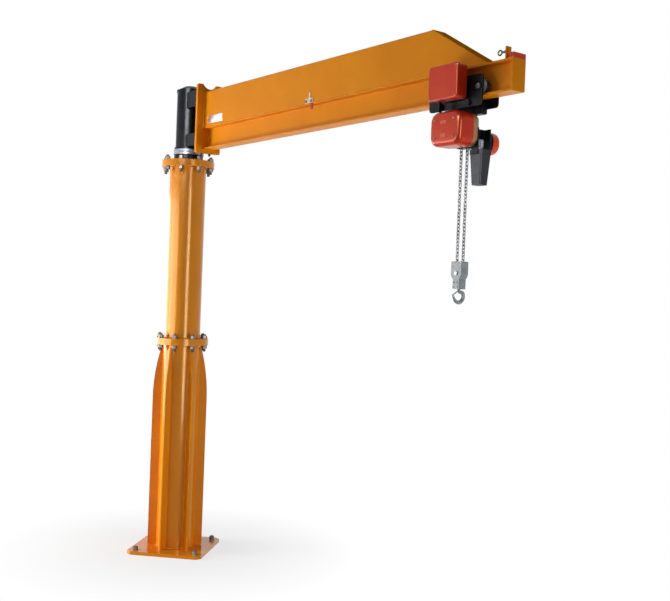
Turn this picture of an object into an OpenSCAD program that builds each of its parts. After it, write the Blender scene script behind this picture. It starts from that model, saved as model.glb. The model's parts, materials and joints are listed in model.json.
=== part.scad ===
// Pillar jib crane with an I-beam arm, a push trolley and an electric chain hoist.
// Millimetres, +Z up. The origin is the centre of the base plate's underside and
// the arm lies along +X, with the hoist hanging from the trolley on the arm.

/* [Base plate] */
// Side of the square base plate
base_side = 570; // [520:5:640]
// Thickness of the base plate
base_t = 25; // [20:1:32]
// Length cut off each corner of the base plate
base_corner_cut = 24; // [10:1:40]
// Circle through the four anchor holes
anchor_pcd = 650; // [620:5:660]
// Diameter of the anchor holes
anchor_hole_d = 28; // [22:1:34]

/* [Column] */
// Outside diameter of the column tube
column_od = 273; // [240:1:300]
// Wall of the column tube
column_wall = 8; // [6:0.5:12]
// Height of the joint between the two column stages
joint_z = 1588; // [1500:1:1700]
// Height of the top of the upper stage
upper_top_z = 2935; // [2800:1:3000]
// Thickness of each column flange
flange_t = 25; // [18:1:32]
// Outside diameter of the two flanges at the joint
joint_flange_d = 400; // [380:1:420]
// Outside diameter of the flange under the slewing head
head_flange_d = 396; // [386:1:410]
// Distance from a flange's edge to its bolt holes' middles
bolt_edge = 22; // [20:1:26]
// Diameter of the bolt holes in the flanges
flange_hole_d = 26; // [22:1:28]
// Number of bolts in each flange
flange_holes = 8; // [6:1:12]

/* [Column ribs] */
// Number of ribs round the lower stage
rib_n = 6; // [4:1:8]
// Thickness of a rib
rib_t = 10; // [8:1:16]
// Radius to the outer edge of a rib
rib_r = 205; // [190:1:215]
// Height at which the rib's outer edge starts to curve in
rib_shoulder_z = 1150; // [1000:10:1300]
// Radius to the rib's outer edge at its top end
rib_top_r = 150; // [146:1:156]
// Distance from the rib's top end down from the flange
rib_top_gap = 18; // [10:1:40]

/* [Slewing head] */
// Thickness of the head's foot plate
head_plate_t = 25; // [18:1:30]
// Diameter of the fixed collar on the foot plate
collar_d = 220; // [210:1:240]
// Height of the fixed collar
collar_h = 47; // [40:1:80]
// Diameter of the bearing ring under the sleeve
ring_d = 228; // [220:1:250]
// Height of the bearing ring
ring_h = 38; // [28:1:44]
// Outside diameter of the turning sleeve
sleeve_od = 203; // [195:1:210]
// Wall of the turning sleeve
sleeve_wall = 12; // [8:1:16]
// Height of the turning sleeve
sleeve_h = 452; // [420:1:470]
// Outside diameter of the fixed spindle in the sleeve
spindle_od = 120; // [100:1:130]
// Width of the two lands that carry the sleeve on the spindle
land_h = 45; // [30:1:60]
// Height of the bearing cap on the sleeve
cap_h_top = 30; // [20:1:40]
// Radius of the flat top of the bearing cap
cap_top_r = 50; // [40:1:60]
// Running clearance at the slewing bearings
slew_gap = 0.3; // [0.2:0.1:0.5]

/* [Arm end] */
// Distance from the slewing axis to the back of the end plate
end_plate_x = 275; // [260:1:300]
// Thickness of the end plate
end_plate_t = 25; // [20:1:30]
// Width of the end plate
end_plate_w = 200; // [190:1:220]
// Height of the bottom edge of the end plate
end_plate_bottom_z = 2995; // [2980:1:3005]
// Height of the end plate's two ears above the box
ear_rise = 56; // [40:1:70]
// Height of the saddle between the ears above the box
saddle_rise = 23; // [12:1:30]
// Width of the saddle between the ears
saddle_w = 112; // [100:1:130]
// Thickness of the bracket plates
bracket_t = 20; // [14:1:25]
// Distance between the webs of a bracket
bracket_web_gap = 120; // [90:1:150]
// Depth of the upper bracket
upper_bracket_h = 120; // [100:1:140]
// Depth of the lower bracket
lower_bracket_h = 90; // [70:1:110]

/* [I-beam] */
// Height of the underside of the I-beam
beam_z = 3024; // [3010:1:3040]
// Depth of the I-beam
beam_h = 160; // [150:1:170]
// Width of the I-beam's flanges
beam_w = 88; // [82:1:94]
// Thickness of the I-beam's flanges
beam_tf = 9.9; // [8:0.1:11]
// Thickness of the I-beam's web
beam_tw = 6; // [5:0.1:8]
// Radius between the flanges and the web
beam_r = 8; // [6:1:12]
// Distance from the slewing axis to the free end of the arm
arm_l = 3380; // [3300:10:3500]
// Thickness of the plate on the free end
tip_t = 10; // [8:1:14]

/* [Upper box] */
// Height of the folded box on the I-beam, at the end plate
box_h = 262; // [240:1:280]
// Fall of the box's top from the end plate to its outer end
box_fall = 18; // [10:1:26]
// Wall of the folded box
box_wall = 4; // [3:0.5:6]
// Outside bend radius of the folded box
box_r = 10; // [8:1:16]
// Distance from the free end to where the top of the box ends
box_top_in = 591; // [540:1:640]
// Distance from the free end to where the slope meets the flange
box_foot_in = 170; // [140:1:200]

/* [Arm fittings] */
// Distance from the slewing axis to the trip plate on the arm's side
trip_x = 1660; // [1500:10:1700]
// Distance from the free end to the eye bracket on the tip
eye_bracket_in = 76; // [60:1:90]
// Height of the eye bracket
eye_bracket_h = 70; // [60:1:90]
// Height of the bar across the tip
tip_bar_h = 26; // [20:1:32]

/* [Trolley] */
// Distance from the free end to the middle of the trolley
trolley_in = 380; // [340:10:500]
// Diameter of the wheels' tread
wheel_d = 72; // [64:1:80]
// Width of the wheels' tread
wheel_w = 26; // [20:1:28]
// Distance between the two wheels on one side
wheel_base = 344; // [320:1:360]
// Diameter of the wheel axles
axle_d = 20; // [16:1:24]
// Distance from the trolley's middle to its tie bars
tie_x = 100; // [80:1:110]
// Thickness of the trolley's side plates
side_t = 8; // [6:1:12]
// Clearance between the flange edge and the side plates
side_gap = 9; // [6:1:14]
// Clearance between the wheel rims and the flange edge
rim_side_gap = 1.5; // [1:0.5:2.5]
// Clearance between the wheels and the flange
wheel_gap = 0.3; // [0.2:0.1:0.5]

/* [Hoist] */
// Width of the motor cover along the arm
cover_w = 226; // [214:1:236]
// Height of the motor cover
cover_h = 178; // [166:1:190]
// Height of the underside of the motor cover
cover_z = 2781; // [2770:1:2800]
// Corner radius of the motor cover
cover_r = 52; // [44:1:60]
// Distance from the arm's middle to the motor cover's end face
cover_y = 128; // [120:1:140]
// Length of the motor cover
cover_l = 100; // [90:1:110]
// Length of the band behind the motor cover
band_l = 34; // [28:1:40]
// Width of the gear housing along the arm
gear_w = 130; // [120:1:140]
// Length of the tall part of the gear housing
gear_l = 48; // [44:1:60]
// Length of the gear housing's barrel
barrel_l = 56; // [50:1:70]
// Width of the gear housing's barrel along the arm
barrel_w = 100; // [90:1:110]
// Height of the gear housing's barrel
barrel_h = 90; // [80:1:96]
// Length of the brake housing
brake_l = 60; // [50:1:70]
// Width of the brake housing along the arm
brake_w = 110; // [100:1:118]
// Height of the brake housing
brake_h = 104; // [98:1:112]
// Length of the far end cap
cap_l = 58; // [50:1:66]
// Width of the far end cap along the arm
cap_w = 120; // [114:1:124]
// Height of the far end cap
cap_h = 118; // [110:1:122]
// Thickness of the suspension lug
lug_t = 38; // [30:1:40]

/* [Control box] */
// Width of the control box along the arm
control_w = 214; // [200:1:220]
// Depth of the control box
control_d = 72; // [64:1:74]
// Height of the control box
control_h = 177; // [160:1:185]
// Height of the underside of the control box
control_z = 3012; // [3005:1:3020]
// Distance from the arm's middle to the outer face of the control box
control_y = 152; // [150:1:160]

/* [Chain] */
// Wire diameter of the load chain
chain_wire = 6.3; // [5:0.1:7]
// Inside length of a chain link
chain_pitch = 19; // [17:0.5:21]
// Outside width of a chain link
chain_w = 21; // [18:0.5:23]
// Distance between the two chain falls
fall_gap = 44; // [40:1:48]
// Distance of the chain falls from the arm's middle
fall_y = 20; // [10:1:26]

/* [Chain bucket] */
// Length of the chain bucket along the arm, at its rim
bucket_w = 90; // [80:1:100]
// Depth of the chain bucket across the arm
bucket_d = 80; // [74:1:90]
// Height of the chain bucket
bucket_h = 180; // [160:1:200]
// Distance of the chain bucket's middle from the arm's middle
bucket_y = 52; // [50:1:64]
// Wall of the chain bucket
bucket_wall = 3; // [2:0.5:4]

/* [Hook block] */
// Height of the top of the hook block
block_top_z = 2197; // [2180:1:2220]
// Height of the hook block
block_h = 144; // [140:1:160]
// Width of the hook block along the arm
block_w = 76; // [74:1:84]
// Thickness of the hook block across the arm
block_d = 50; // [46:1:56]
// Clearance between a seated link and what carries it
link_gap = 0.3; // [0.2:0.1:0.5]

/* [Hook] */
// Diameter of the hook's seat for the load
hook_seat_d = 44; // [40:1:48]
// Thickness of the hook at its deepest section
hook_t = 22; // [20:1:24]
// Diameter of the hook's shank
shank_d = 18; // [16:1:20]

/* [Hidden] */
$fn = 64;

orange = [0.90, 0.53, 0.14];
dark_orange = [0.80, 0.42, 0.10];
black = [0.06, 0.06, 0.07];
red = [0.80, 0.20, 0.12];
grey = [0.62, 0.64, 0.66];
steel = [0.72, 0.73, 0.75];
tan_paint = [0.72, 0.52, 0.33];

// Column levels
column_r = column_od / 2;
lower_top_z = joint_z - flange_t;
rib_top_z = lower_top_z - rib_top_gap;
rib_curve_h = rib_top_z - rib_shoulder_z;
rib_curve_in = rib_r - rib_top_r;
rib_curve_r = (rib_curve_h * rib_curve_h + rib_curve_in * rib_curve_in) / (2 * rib_curve_in);

// Head levels
head_plate_z = upper_top_z;
collar_z = head_plate_z + head_plate_t;
ring_z = collar_z + collar_h;
sleeve_z = ring_z + ring_h + slew_gap;
sleeve_top_z = sleeve_z + sleeve_h;
sleeve_r = sleeve_od / 2;
sleeve_ir = sleeve_r - sleeve_wall;
spindle_r = spindle_od / 2;
cap_foot_r = sleeve_r - 14;
cap_shoulder = 8;
collar_flare = 12;
collar_foot_h = 14;
ring_groove_d = 8;
lip = 8;
lip_h = 16;
top_lip = 5;
land_in = 6;
bracket_in = 12;

// Arm levels
end_plate_front_x = end_plate_x + end_plate_t;
beam_top_z = beam_z + beam_h;
box_w = beam_w;
box_top_z = beam_top_z + box_h;
box_top_x = arm_l - box_top_in;
box_foot_x = arm_l - box_foot_in;
box_end_z = box_top_z - box_fall;
box_tilt = atan(box_fall / (box_top_x - end_plate_front_x));
box_end_h = box_end_z - beam_top_z;
beam_end_x = arm_l - tip_t;
slope_l = box_foot_x - box_top_x;
slope_cut = box_wall * sqrt(slope_l * slope_l + box_end_h * box_end_h) / box_end_h;
end_plate_top_z = box_top_z + ear_rise;
end_plate_h = end_plate_top_z - end_plate_bottom_z;
saddle_depth = ear_rise - saddle_rise;
saddle_r = (saddle_w * saddle_w / 4 + saddle_depth * saddle_depth) / (2 * saddle_depth);
plate_corner = 12;

// Arm fitting places
tip_lap = 1;
tip_bar_l = 30;
eye_bracket_x = arm_l - eye_bracket_in;
eye_plate_t = 8;
eye_bracket_w = 34;
eye_foot_l = 30;
eye_foot_t = 6;
eye_down = 22;
eye_rod_d = 12;
eye_rod_l = 40;
eye_nut_d = 24;
trip_t = 4;
trip_w = 80;
trip_h = 31;
trip_tab_w = 14;
trip_tab_h = 36;
trip_leg_w = 26;
trip_leg_h = 40;
trip_foot = 18;

// Trolley places
trolley_x = arm_l - trolley_in;
rim_h = 7;
rim_t = 6;
axle_head_t = 6;
axle_nut_t = 10;
tie_nut_t = 12;
side_rise = 28;
side_end = 22;
side_foot = 20;
side_r = 20;
wheel_y = beam_w / 2 + rim_side_gap - wheel_w;
wheel_z = beam_z + beam_tf + wheel_gap + wheel_d / 2;
side_y = beam_w / 2 + side_gap;
side_top_z = wheel_z + wheel_d / 2 + side_rise;
side_l = wheel_base + 2 * side_end;
tie_d = 24;
tie_z = beam_z - 28;
side_bottom_z = tie_z - side_foot;

// Hoist places
gear_lift = 17;
barrel_lift = 45;
gear_top_in = 10;
band_y = -cover_y + cover_l;
band_in = 5;
gear_y = band_y + band_l;
barrel_y = gear_y + gear_l;
brake_y = barrel_y + barrel_l;
cap_y = brake_y + brake_l;
cover_mid_z = cover_z + cover_h / 2;
gear_bottom_z = cover_z + gear_lift;
gear_top_z = cover_z + cover_h - gear_top_in;
barrel_mid_z = cover_z + barrel_lift;
gear_r = 26;
fin_n = 3;
fin_t = 7;
fin_h = 5;
lug_in = 8;
lug_y = gear_y + lug_in;
lug_top_z = tie_z + side_foot;

// Control box places
lid_t = 16;
lid_lip = 4;
spacer_x = 30;
spacer_w = 28;
spacer_h = 62;
strap_in = 28;
strap_w = 20;
strap_t = 12;

// Chain places
guide_h = 16;
guide_l = 34;
guide_roof = 6;
chain_top_z = gear_bottom_z - guide_roof - link_gap;
link_l = chain_pitch + 2 * chain_wire;
link_step = chain_pitch - link_gap;
bucket_gap = 11;
bucket_in = 24;
bucket_x = trolley_x + gear_w / 2 + bucket_w / 2 - bucket_in;
bucket_top_z = barrel_mid_z - barrel_h / 2 - bucket_gap;
rim_band = 24;
bucket_taper = 0.74;
hanger_t = 5;
hanger_arm = 46;
hanger_low = 32;
hanger_high = 82;

// Hook block places
block_bottom_z = block_top_z - block_h;
sheave_z = block_top_z - 62;
drum_r = fall_gap / 2 - chain_wire / 2 - link_gap;
slot_r = fall_gap / 2 - chain_w / 2 - link_gap;
slot_w = chain_wire + 1;
rim_gap_w = chain_w + 1;
guard_r = drum_r + 9;
chain_bottom_z = sheave_z;
link_n = floor((chain_top_z - chain_bottom_z - 2 * chain_wire) / link_step);
cavity_w = fall_gap + chain_w + 3;
cavity_d = chain_w + 5;
block_neck_w = 46;
block_floor = 18;
pin_d = 14;
nut_d = 30;
nut_h = 14;
swivel_gap = 0.05;
nut_z = block_bottom_z + block_floor + link_gap;

// Hook line: the middle of its section, drawn across and up, the tip on the negative side
hook_sides = 16;
latch_w = 10;
latch_t = 2.5;
hook_neck_h = 28;
hook_drop = 36;
hook_z = block_bottom_z - hook_drop;
hook_r = hook_seat_d / 2 + hook_t / 2;
bow_start = [hook_r * cos(30), hook_r * sin(30)];
neck_line = [for (i = [0 : 6]) bezier(
    [0, hook_neck_h], [1, hook_neck_h - 9], bow_start + [-7, 5], bow_start, i / 7)];
bow_line = [for (a = [30 : -9 : -195]) (hook_r + tip_flare(a)) * [cos(a), sin(a)]];
hook_line = concat(neck_line, bow_line);
hook_rings = len(hook_line);

// ---------- Shared shapes ----------

module rounded_rect(w, h, r) {
    square([w - 2 * r, h], center = true);
    square([w, h - 2 * r], center = true);
    for (x = [-1, 1], y = [-1, 1])
        translate([x * (w / 2 - r), y * (h / 2 - r)]) circle(r = r);
}

// A flat shape drawn on X and Z, raised towards +Y from y0 by depth
module across(y0, depth) {
    translate([0, y0 + depth, 0]) rotate([90, 0, 0]) linear_extrude(depth) children();
}

// A flat shape drawn on Y and Z, raised towards +X from x0 by depth
module along(x0, depth) {
    translate([x0, 0, 0]) rotate([90, 0, 90]) linear_extrude(depth) children();
}

module bolt_circle(pcd, n) {
    for (i = [0 : n - 1]) rotate(i * 360 / n) translate([pcd / 2, 0, 0]) children();
}

module drilled_flange(d, t, bore_d) {
    difference() {
        cylinder(d = d, h = t);
        translate([0, 0, -1]) cylinder(d = bore_d, h = t + 2);
        bolt_circle(d - 2 * bolt_edge, flange_holes)
            translate([0, 0, -1]) cylinder(d = flange_hole_d, h = t + 2);
    }
}

module tube(od, wall, h) {
    difference() {
        cylinder(d = od, h = h);
        translate([0, 0, -1]) cylinder(d = od - 2 * wall, h = h + 2);
    }
}

// ---------- Column ----------

module base_plate() color(orange)
    difference() {
        rotate(45) linear_extrude(base_t) difference() {
            square(base_side, center = true);
            for (i = [0 : 3]) rotate(45 + 90 * i)
                translate([base_side / sqrt(2) - base_corner_cut, -base_side / 2])
                    square([base_side, base_side]);
        }
        bolt_circle(anchor_pcd, 4) translate([0, 0, -1])
            cylinder(d = anchor_hole_d, h = base_t + 2);
    }

module lower_tube() color(orange)
    translate([0, 0, base_t]) tube(column_od, column_wall, lower_top_z - base_t);

// One rib, drawn on radius and height, its shoulder curving in to the tube
module rib_outline() {
    difference() {
        translate([column_r, base_t]) square([rib_r - column_r, rib_top_z - base_t]);
        difference() {
            translate([rib_r - rib_curve_in - 1, rib_shoulder_z])
                square([rib_curve_in + 2, rib_curve_h + 1]);
            translate([rib_r - rib_curve_r, rib_shoulder_z]) circle(r = rib_curve_r, $fn = 256);
        }
    }
}

module column_ribs() color(orange)
    for (i = [0 : rib_n - 1]) rotate(i * 360 / rib_n)
        difference() {
            across(-rib_t / 2, rib_t) rib_outline();
            cylinder(d = column_od, h = joint_z);
        }

module lower_joint_flange() color(orange)
    translate([0, 0, lower_top_z])
        drilled_flange(joint_flange_d, flange_t, column_od - 2 * column_wall);

module upper_joint_flange() color(orange)
    translate([0, 0, joint_z])
        drilled_flange(joint_flange_d, flange_t, column_od - 2 * column_wall);

module upper_tube() color(orange)
    translate([0, 0, joint_z + flange_t])
        tube(column_od, column_wall, upper_top_z - joint_z - 2 * flange_t);

module head_flange() color(orange)
    translate([0, 0, upper_top_z - flange_t])
        drilled_flange(head_flange_d, flange_t, column_od - 2 * column_wall);

// ---------- Slewing head, fixed parts ----------

module head_plate() color(orange)
    translate([0, 0, head_plate_z])
        drilled_flange(head_flange_d, head_plate_t, spindle_od);

// The collar flares at its foot and is stepped below the ring
module head_collar() color(black)
    translate([0, 0, collar_z]) rotate_extrude() difference() {
        union() {
            translate([spindle_r, 0]) square([collar_d / 2 - spindle_r, collar_h]);
            translate([spindle_r, 0]) square([collar_d / 2 + collar_flare - spindle_r, collar_foot_h]);
        }
        translate([(collar_d - ring_groove_d) / 2, collar_h - ring_groove_d])
            square(collar_flare + ring_groove_d);
    }

module bearing_ring() color(grey)
    translate([0, 0, ring_z]) rotate_extrude() difference() {
        translate([spindle_r, 0]) square([ring_d / 2 - spindle_r, ring_h]);
        translate([ring_d / 2, ring_h / 2]) circle(d = ring_groove_d);
    }

// Fixed spindle with a wide land at each end of the sleeve
module spindle() color(steel) {
    translate([0, 0, head_plate_z])
        cylinder(r = spindle_r, h = sleeve_top_z + slew_gap - head_plate_z);
    for (z = [sleeve_z + land_in, sleeve_top_z - land_h - land_in])
        translate([0, 0, z]) cylinder(r = sleeve_ir - slew_gap, h = land_h);
}

// Bearing cap with a rounded shoulder
module spindle_cap() color(black)
    translate([0, 0, sleeve_top_z + slew_gap]) rotate_extrude() {
        square([cap_foot_r, cap_shoulder]);
        intersection() {
            square([cap_foot_r, cap_h_top]);
            translate([0, cap_shoulder])
                polygon([[0, 0], [cap_foot_r, 0], [cap_top_r, cap_h_top - cap_shoulder],
                         [0, cap_h_top - cap_shoulder]]);
        }
    }

// ---------- Turning arm ----------

module sleeve() color(black)
    translate([0, 0, sleeve_z]) difference() {
        union() {
            cylinder(r = sleeve_r, h = sleeve_h);
            cylinder(r = sleeve_r + lip, h = lip_h);
            translate([0, 0, sleeve_h - lip_h]) cylinder(r = sleeve_r + top_lip, h = lip_h);
        }
        translate([0, 0, -1]) cylinder(r = sleeve_ir, h = sleeve_h + 2);
    }

// Two webs and a cover plate from the sleeve to the end plate
module bracket(z, h, plate_z) {
    difference() {
        union() {
            for (y = [-1, 1])
                translate([0, y * bracket_web_gap / 2 - bracket_t / 2, z])
                    cube([end_plate_x, bracket_t, h]);
            translate([0, -bracket_web_gap / 2 - bracket_t / 2, plate_z])
                cube([end_plate_x, bracket_web_gap + bracket_t, bracket_t]);
        }
        translate([0, 0, z - 1]) cylinder(r = sleeve_r, h = h + 2);
    }
}

module upper_bracket() color(black)
    bracket(sleeve_top_z - lip_h - bracket_in - upper_bracket_h, upper_bracket_h,
            sleeve_top_z - lip_h - bracket_in - upper_bracket_h);

module lower_bracket() color(black)
    bracket(sleeve_z + lip_h, lower_bracket_h, sleeve_z + lip_h);

// Plate with a round saddle between two ears on its top edge
module end_plate() color(dark_orange)
    along(end_plate_x, end_plate_t) difference() {
        translate([0, end_plate_bottom_z + end_plate_h / 2])
            rounded_rect(end_plate_w, end_plate_h, plate_corner);
        translate([0, end_plate_top_z - saddle_depth + saddle_r]) circle(r = saddle_r, $fn = 128);
    }

module beam_profile() {
    inner_h = beam_h - 2 * beam_tf;
    inner_w = (beam_w - beam_tw) / 2;
    difference() {
        square([beam_w, beam_h], center = true);
        for (s = [-1, 1]) translate([s * (beam_tw + inner_w + 1) / 2, 0]) {
            square([inner_w + 1, inner_h - 2 * beam_r], center = true);
            translate([s * beam_r / 2, 0]) square([inner_w + 1 - beam_r, inner_h], center = true);
        }
        for (s = [-1, 1], v = [-1, 1])
            translate([s * (beam_tw / 2 + beam_r), v * (inner_h / 2 - beam_r)]) circle(r = beam_r);
    }
}

module i_beam() color(orange)
    along(end_plate_front_x, beam_end_x - end_plate_front_x)
        translate([0, beam_z + beam_h / 2]) beam_profile();

module box_section() {
    difference() {
        translate([0, -box_h / 2]) rounded_rect(box_w, box_h, box_r);
        translate([0, -box_h / 2 - box_wall])
            rounded_rect(box_w - 2 * box_wall, box_h, box_r - box_wall);
        translate([-box_w / 2 + box_wall, -box_h - 1])
            square([box_w - 2 * box_wall, box_r + 2]);
    }
    for (s = [-1, 1]) translate([s * (box_w - box_wall) / 2 - box_wall / 2, -box_h - box_fall])
        square([box_wall, box_fall + 2 * box_r]);
}

// Folded channel, open side down, its top falling a little towards the slope
module upper_box() color(orange)
    intersection() {
        translate([end_plate_front_x, 0, box_top_z]) rotate([0, box_tilt, 0])
            along(-box_r, box_foot_x - end_plate_front_x + 2 * box_r) box_section();
        across(-box_w, 2 * box_w)
            polygon([[end_plate_front_x, beam_top_z], [box_foot_x - slope_cut, beam_top_z],
                     [box_top_x - slope_cut, box_end_z], [box_top_x - slope_cut, box_top_z],
                     [end_plate_front_x, box_top_z + box_r]]);
    }

module box_end() color(orange)
    across(-box_w / 2, box_w)
        polygon([[box_foot_x - slope_cut, beam_top_z], [box_foot_x, beam_top_z],
                 [box_top_x, box_end_z], [box_top_x - slope_cut, box_end_z]]);

module tip_plate() color(orange)
    along(beam_end_x, tip_t) translate([0, beam_z + beam_h / 2])
        rounded_rect(beam_w + 2 * tip_lap, beam_h, 3);

// Bar across the top flange at the free end
module tip_bar() color(red)
    along(arm_l - tip_bar_l, tip_bar_l) translate([0, beam_top_z + tip_bar_h / 2])
        square([beam_w, tip_bar_h], center = true);

// Small trip plate for the trolley: an upright plate on the flange with a tab and a leg
module trip_plate() color(grey) {
    edge_y = -beam_w / 2;
    translate([trip_x - trip_w / 2, edge_y - trip_t, beam_top_z]) cube([trip_w, trip_t, trip_h]);
    translate([trip_x, edge_y - trip_t, beam_top_z + trip_h]) cube([trip_tab_w, trip_t, trip_tab_h]);
    translate([trip_x + trip_w / 2 - trip_leg_w, edge_y - trip_t, beam_top_z - trip_leg_h])
        cube([trip_leg_w, trip_t, trip_leg_h + trip_foot]);
}

module eye_bracket() color(dark_orange) {
    along(eye_bracket_x - eye_plate_t / 2, eye_plate_t)
        translate([0, beam_top_z + eye_bracket_h / 2])
            square([eye_bracket_w, eye_bracket_h], center = true);
    translate([eye_bracket_x - eye_plate_t / 2 - eye_foot_l, -eye_bracket_w / 2, beam_top_z])
        cube([eye_foot_l, eye_bracket_w, eye_foot_t]);
}

// Rod through the upright of the eye bracket, with a nut and an eye
module eye_bolt() color(steel) {
    eye_z = beam_top_z + eye_bracket_h - eye_down;
    front_x = eye_bracket_x - eye_plate_t / 2;
    translate([front_x - eye_rod_l, 0, eye_z]) rotate([0, 90, 0]) cylinder(d = eye_rod_d, h = eye_rod_l);
    translate([front_x - 10, 0, eye_z]) rotate([0, 90, 0]) cylinder(d = eye_nut_d, h = 10, $fn = 6);
    translate([front_x - eye_rod_l - eye_rod_d, 0, eye_z]) rotate([90, 0, 0])
        rotate_extrude() translate([eye_rod_d, 0]) circle(d = 8);
}

// ---------- Trolley ----------

module side_outline() {
    side_h = side_top_z - side_bottom_z;
    translate([trolley_x, side_bottom_z + side_h / 2])
        rounded_rect(side_l, side_h, side_r);
}

module side_plate(y0)
    difference() {
        across(y0, side_t) side_outline();
        for (x = [-1, 1]) {
            translate([trolley_x + x * wheel_base / 2, y0 - 1, wheel_z]) rotate([-90, 0, 0])
                cylinder(d = axle_d, h = side_t + 2);
            translate([trolley_x + x * tie_x, y0 - 1, tie_z]) rotate([-90, 0, 0])
                cylinder(d = tie_d, h = side_t + 2);
        }
    }

module near_side_plate() color(black) side_plate(-side_y - side_t);

module far_side_plate() color(black) side_plate(side_y);

// Wheel on a vertical axis: its tread below and its guiding rim on top
module wheel()
    difference() {
        union() {
            cylinder(d = wheel_d, h = wheel_w);
            translate([0, 0, wheel_w]) cylinder(d = wheel_d + 2 * rim_h, h = rim_t);
        }
        translate([0, 0, -1]) cylinder(d = axle_d, h = wheel_w + rim_t + 2);
        translate([0, 0, -1]) difference() {
            cylinder(d = wheel_d - 14, h = 5);
            cylinder(d = axle_d + 12, h = 5);
        }
    }

// Places a vertical piece at each wheel, y0 from the arm's middle, pointing outwards
module at_wheels(y0)
    for (x = [-1, 1], s = [-1, 1])
        translate([trolley_x + x * wheel_base / 2, s * y0, wheel_z])
            rotate([-s * 90, 0, 0]) children();

module wheels() color(steel) at_wheels(wheel_y) wheel();

module axles() color(steel)
    at_wheels(wheel_y - axle_head_t) {
        cylinder(d = axle_d + 10, h = axle_head_t);
        cylinder(d = axle_d, h = axle_head_t + side_y + side_t - wheel_y + axle_nut_t);
        translate([0, 0, axle_head_t + side_y + side_t - wheel_y])
            cylinder(d = axle_d + 12, h = axle_nut_t, $fn = 6);
    }

module tie_bars() color(black)
    for (x = [-1, 1]) translate([trolley_x + x * tie_x, 0, tie_z]) rotate([90, 0, 0]) {
        cylinder(d = tie_d, h = 2 * (side_y + side_t + tie_nut_t), center = true);
        for (s = [-1, 1]) translate([0, 0, s * (side_y + side_t + tie_nut_t / 2)])
            cylinder(d = tie_d + 12, h = tie_nut_t, center = true, $fn = 6);
    }

// Lug on the gear housing that hangs on both tie bars
module suspension_lug() color(black)
    difference() {
        across(lug_y, lug_t) translate([trolley_x, (gear_top_z + lug_top_z) / 2])
            rounded_rect(2 * tie_x + tie_d + 20, lug_top_z - gear_top_z, 8);
        for (x = [-1, 1]) translate([trolley_x + x * tie_x, lug_y - 1, tie_z])
            rotate([-90, 0, 0]) cylinder(d = tie_d, h = lug_t + 2);
    }

// Spacers from the near side plate to the control box, and a post down to the motor cover
module control_bracket() color(black) {
    back_y = -control_y + control_d;
    for (x = [-1, 1])
        translate([trolley_x + x * spacer_x - spacer_w / 2, back_y, wheel_z - spacer_h / 2])
            cube([spacer_w, -side_y - side_t - back_y, spacer_h]);
    translate([trolley_x - cover_w / 2 + cover_r, -control_y + strap_in, cover_z + cover_h])
        cube([strap_t, strap_w, control_z - cover_z - cover_h]);
}

// Block along Y with round corners and a rounded edge at its outer end
module soft_block(x, z, w, h, r, y0, depth, edge) {
    steps = 4;
    skin = 0.2;
    hull() {
        for (i = [0 : steps]) {
            a = i * 90 / steps;
            inset = edge * (1 - sin(a));
            across(y0 + edge * (1 - cos(a)), skin) translate([x, z])
                rounded_rect(w - 2 * inset, h - 2 * inset, r - inset, $fn = 32);
        }
        across(y0 + depth - skin, skin) translate([x, z]) rounded_rect(w, h, r, $fn = 32);
    }
}

// Closed box with a wider lid on its outer side
module control_box() color(red) {
    mid_z = control_z + control_h / 2;
    across(-control_y + lid_t, control_d - lid_t) translate([trolley_x, mid_z])
        rounded_rect(control_w - 2 * lid_lip, control_h - 2 * lid_lip, 10);
    soft_block(trolley_x, mid_z, control_w, control_h, 12, -control_y, lid_t, 6);
}

module motor_cover() color(red)
    soft_block(trolley_x, cover_mid_z, cover_w, cover_h, cover_r, -cover_y, cover_l, 24);

module motor_band() color(tan_paint)
    across(band_y, band_l) translate([trolley_x, cover_mid_z])
        rounded_rect(cover_w - 2 * band_in, cover_h - 2 * band_in, cover_r - band_in);

// Casting for the gears and the chain wheel: a tall part and a ribbed barrel
module gear_housing() color(grey) {
    across(gear_y, gear_l) translate([trolley_x, (gear_bottom_z + gear_top_z) / 2])
        rounded_rect(gear_w, gear_top_z - gear_bottom_z, gear_r);
    across(barrel_y, barrel_l) translate([trolley_x, barrel_mid_z])
        rounded_rect(barrel_w, barrel_h, gear_r);
    for (i = [1 : fin_n]) across(barrel_y + i * barrel_l / (fin_n + 1) - fin_t / 2, fin_t)
        translate([trolley_x, barrel_mid_z])
            rounded_rect(barrel_w + 2 * fin_h, barrel_h, gear_r + fin_h);
}

module brake_housing() color(black)
    across(brake_y, brake_l) translate([trolley_x, barrel_mid_z])
        rounded_rect(brake_w, brake_h, gear_r);

module end_cap() color(red)
    translate([trolley_x, 0, 0]) rotate(180)
        soft_block(0, barrel_mid_z, cap_w, cap_h, 34, -cap_y - cap_l, cap_l, 20);

// Guide block with a slot for each fall
module chain_guide() color(black)
    difference() {
        across(gear_y, guide_l) translate([trolley_x, gear_bottom_z - guide_h / 2])
            rounded_rect(fall_gap + chain_w + 22, guide_h, 6);
        for (s = [-1, 1])
            translate([trolley_x + s * fall_gap / 2, fall_y, gear_bottom_z - guide_h - 1])
                cylinder(d = chain_w + 4, h = guide_h - guide_roof + 1);
    }

// ---------- Chain and bucket ----------

module link_half()
    rotate([90, 0, 0]) rotate_extrude(angle = 180, $fn = 24)
        translate([(chain_w - chain_wire) / 2, 0]) circle(d = chain_wire, $fn = 16);

// Link with its long side upright, its two round ends joined by straight sides
module chain_link() {
    straight = chain_pitch + 2 * chain_wire - chain_w;
    translate([0, 0, straight / 2]) link_half();
    mirror([0, 0, 1]) translate([0, 0, straight / 2]) link_half();
    for (s = [-1, 1]) translate([s * (chain_w - chain_wire) / 2, 0, -straight / 2])
        cylinder(d = chain_wire, h = straight, $fn = 16);
}

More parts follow.
